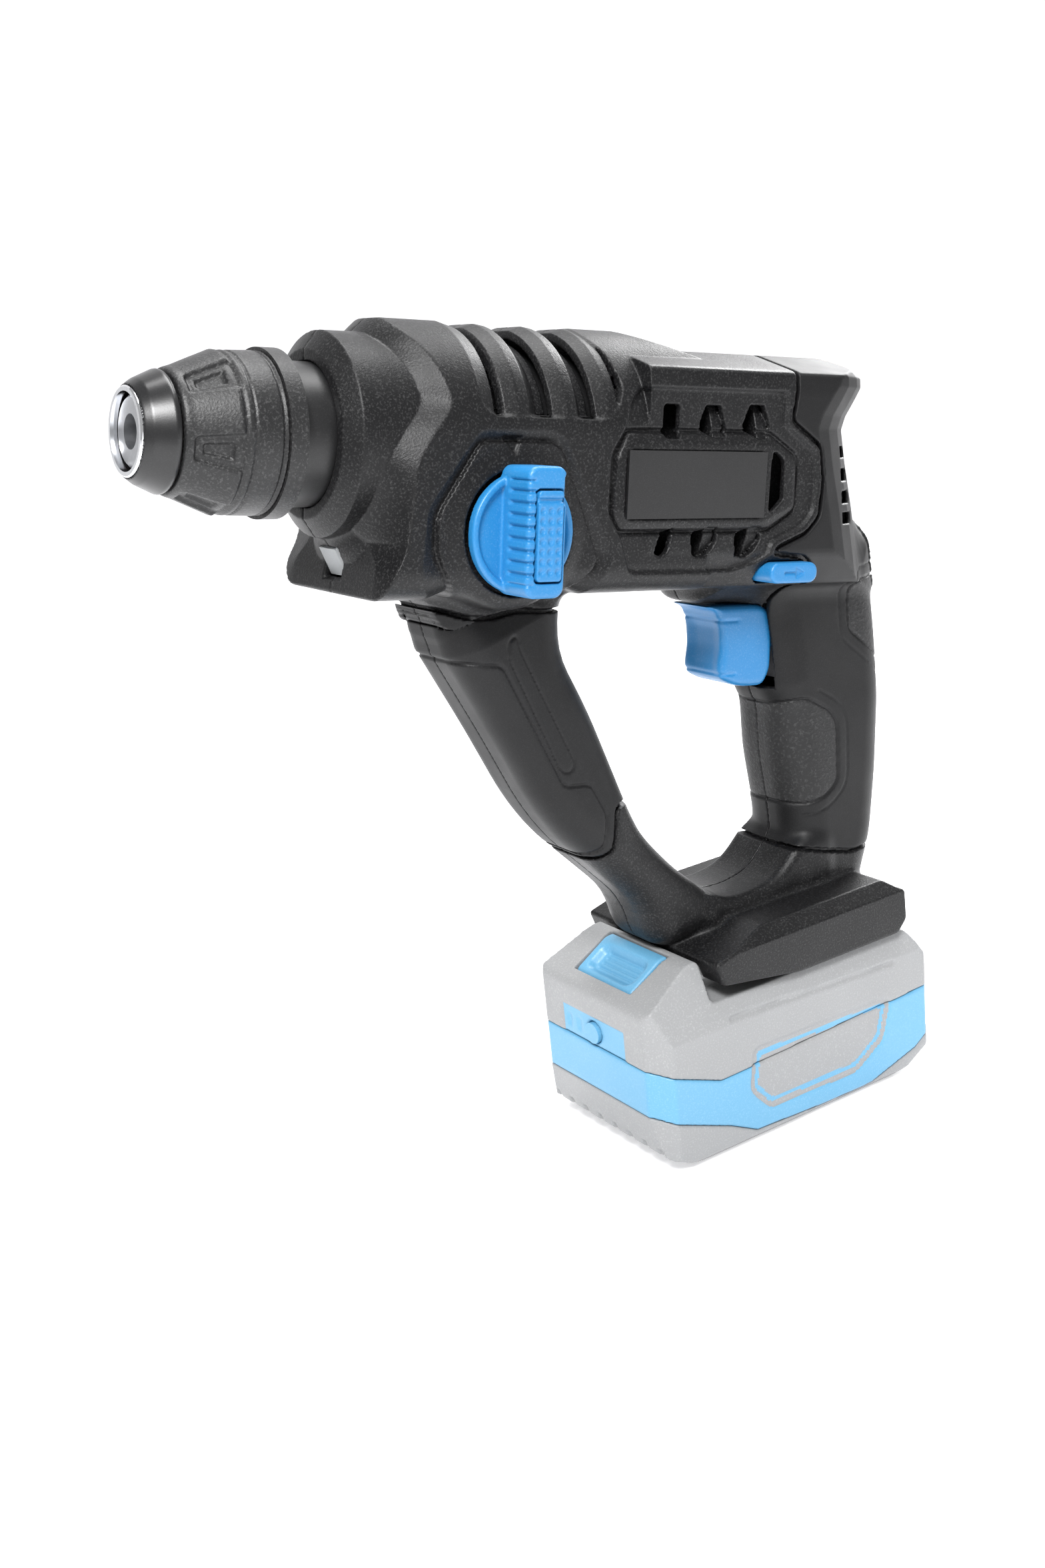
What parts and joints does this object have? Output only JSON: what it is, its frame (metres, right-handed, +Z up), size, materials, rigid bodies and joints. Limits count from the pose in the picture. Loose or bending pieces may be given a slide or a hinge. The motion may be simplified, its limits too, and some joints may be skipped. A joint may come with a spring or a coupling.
{
  "type": "rotary hammer",
  "caption": "Cordless rotary hammer with a D-shaped handle, pull-back chuck, mode knob and sliding battery foot, built with its gear train and hammer mechanism inside.",
  "frame": {"origin": "middle of the battery's flat underside, on which the tool stands", "axes": "+Z up, -X towards the chuck, +Y the tool's right side; the barrel is tilted 9.2 degrees chuck-up"},
  "size_m": [0.2814, 0.0905, 0.3038],
  "materials": {
    "shell_black": "fine spark-eroded texture",
    "grip_rubber": "soft matt",
    "badge": "satin",
    "steel": "ground and oiled",
    "bright_ring": "polished",
    "case_alloy": "cast and machined",
    "neck_black": "smooth satin",
    "bronze": "sintered",
    "copper": "enamelled wire",
    "seal_rubber": "moulded",
    "sleeve_black": "spark-eroded texture",
    "board_green": "solder mask",
    "moulding_black": "moulded",
    "control_blue": "satin",
    "lens_clear": "clear",
    "pack_grey": "fine texture",
    "pack_blue": "satin",
    "cell_can": "shrink sleeve"
  },
  "bodies": {
    "housing": {"housing_left": "shell_black", "housing_right": "shell_black", "grip_rubber_left": "grip_rubber", "grip_rubber_right": "grip_rubber", "brace_rubber_left": "grip_rubber", "brace_rubber_right": "grip_rubber", "badge_left": "badge", "badge_right": "badge", "housing_screws": "steel", "gear_case": "neck_black", "bearing_plate": "case_alloy", "spindle_seal": "seal_rubber", "spindle_bearing": "steel", "spindle_bush": "bronze", "countershaft_bearings": "steel", "stator_core": "steel", "stator_windings": "copper", "sensor_board": "board_green", "motor_bearings": "steel", "switch_module": "moulding_black", "work_light_lens": "lens_clear", "control_board": "board_green", "terminal_block": "moulding_black"},
    "spindle": {"spindle": "steel", "chuck_ring": "bright_ring", "dust_cap": "seal_rubber", "spring_washer": "steel", "sleeve_spring": "steel", "spindle_gear": "steel"},
    "chuck_sleeve": {"chuck_sleeve": "sleeve_black", "sleeve_ring": "sleeve_black", "lock_ring": "steel"},
    "lock_ball": {"lock_ball": "steel"},
    "countershaft": {"countershaft": "steel", "drive_pinion": "steel", "countershaft_gear": "steel", "wobble_race": "steel"},
    "clutch": {"clutch_sleeve": "steel"},
    "wobble_ring": {"wobble_ring": "steel"},
    "piston": {"piston": "case_alloy"},
    "piston_pin": {"piston_pin": "steel"},
    "ram": {"ram": "steel", "ram_seal": "seal_rubber"},
    "beat_piece": {"beat_piece": "steel"},
    "rotor": {"rotor_shaft": "steel", "rotor_core": "steel", "cooling_fan": "moulding_black", "motor_pinion": "steel"},
    "mode_knob": {"mode_knob": "control_blue", "shift_pin": "steel"},
    "knob_button": {"knob_button": "control_blue"},
    "trigger": {"trigger": "control_blue"},
    "direction_switch": {"direction_switch": "control_blue"},
    "battery": {"battery_upper_shell": "pack_grey", "battery_band": "pack_blue", "battery_lower_shell": "pack_grey", "battery_cells": "cell_can", "battery_board": "board_green"},
    "battery_latch": {"battery_latch": "pack_blue"},
    "gauge_button": {"gauge_button": "pack_blue"}
  },
  "joints": [
    {"name": "spindle_spin", "type": "hinge", "parent": "housing", "child": "spindle", "pos_m": [-0.2068, 0, 0.283], "axis": [0.9871, 0, -0.1599], "continuous": true},
    {"name": "sleeve_pull", "type": "slide", "parent": "spindle", "child": "chuck_sleeve", "axis": [0.9871, 0, -0.1599], "range_m": [0, 0.006], "stiffness_N_per_m": 1500, "springref_m": -0.004, "deforming": ["sleeve_spring"]},
    {"name": "lock_ball_lift", "type": "slide", "parent": "spindle", "child": "lock_ball", "axis": [0.1599, 0, 0.9871], "range_m": [0, 0.0006]},
    {"name": "countershaft_spin", "type": "hinge", "parent": "housing", "child": "countershaft", "pos_m": [-0.21128, 0, 0.25536], "axis": [0.9871, 0, -0.1599], "continuous": true},
    {"name": "clutch_shift", "type": "slide", "parent": "countershaft", "child": "clutch", "axis": [0.9871, 0, -0.1599], "range_m": [-0.003, 0.003]},
    {"name": "rotor_spin", "type": "hinge", "parent": "housing", "child": "rotor", "pos_m": [-0.20859, 0, 0.27194], "axis": [0.9871, 0, -0.1599], "continuous": true},
    {"name": "wobble_swing", "type": "hinge", "parent": "housing", "child": "wobble_ring", "pos_m": [-0.08492, 0, 0.23489], "axis": [0, 1, 0], "range_deg": [-10, 10]},
    {"name": "piston_slide", "type": "slide", "parent": "housing", "child": "piston", "axis": [0.9871, 0, -0.1599], "range_m": [-0.0049, 0.0049]},
    {"name": "piston_pin_turn", "type": "hinge", "parent": "piston", "child": "piston_pin", "pos_m": [-0.08045, 0, 0.26254], "axis": [0, 1, 0], "range_deg": [-10, 10]},
    {"name": "ram_slide", "type": "slide", "parent": "housing", "child": "ram", "axis": [0.9871, 0, -0.1599], "range_m": [0, 0.006]},
    {"name": "beat_slide", "type": "slide", "parent": "spindle", "child": "beat_piece", "axis": [0.9871, 0, -0.1599], "range_m": [0, 0.003]},
    {"name": "mode_turn", "type": "hinge", "parent": "housing", "child": "mode_knob", "pos_m": [-0.10093, 0, 0.238], "axis": [0, 1, 0], "range_deg": [-90, 90]},
    {"name": "knob_button_press", "type": "slide", "parent": "mode_knob", "child": "knob_button", "axis": [0, 1, 0], "range_m": [0, 0.0012], "stiffness_N_per_m": 2000, "springref_m": -0.0005},
    {"name": "trigger_pull", "type": "slide", "parent": "housing", "child": "trigger", "axis": [0.9871, 0, -0.1599], "range_m": [0, 0.006], "stiffness_N_per_m": 1200, "springref_m": -0.003},
    {"name": "direction_slide", "type": "slide", "parent": "housing", "child": "direction_switch", "axis": [0, 1, 0], "range_m": [-0.003, 0.003]},
    {"name": "battery_slide", "type": "slide", "parent": "housing", "child": "battery", "axis": [-1, 0, 0], "range_m": [0, 0.12]},
    {"name": "battery_latch_press", "type": "slide", "parent": "battery", "child": "battery_latch", "axis": [0, 0, -1], "range_m": [0, 0.003], "stiffness_N_per_m": 1500, "springref_m": -0.002},
    {"name": "gauge_press", "type": "slide", "parent": "battery", "child": "gauge_button", "axis": [1, 0, 0], "range_m": [0, 0.0006], "stiffness_N_per_m": 2000, "springref_m": -0.0003}
  ],
  "couplings": [
    {"joint": "lock_ball_lift", "follows": "sleeve_pull", "ratio": 0.1},
    {"joint": "countershaft_spin", "follows": "spindle_spin", "ratio": -3},
    {"joint": "rotor_spin", "follows": "spindle_spin", "ratio": 12.75},
    {"joint": "piston_slide", "follows": "wobble_swing", "m_per_rad": 0.028},
    {"joint": "piston_pin_turn", "follows": "wobble_swing", "ratio": 1},
    {"joint": "clutch_shift", "follows": "mode_turn", "m_per_rad": 0.0019}
  ]
}
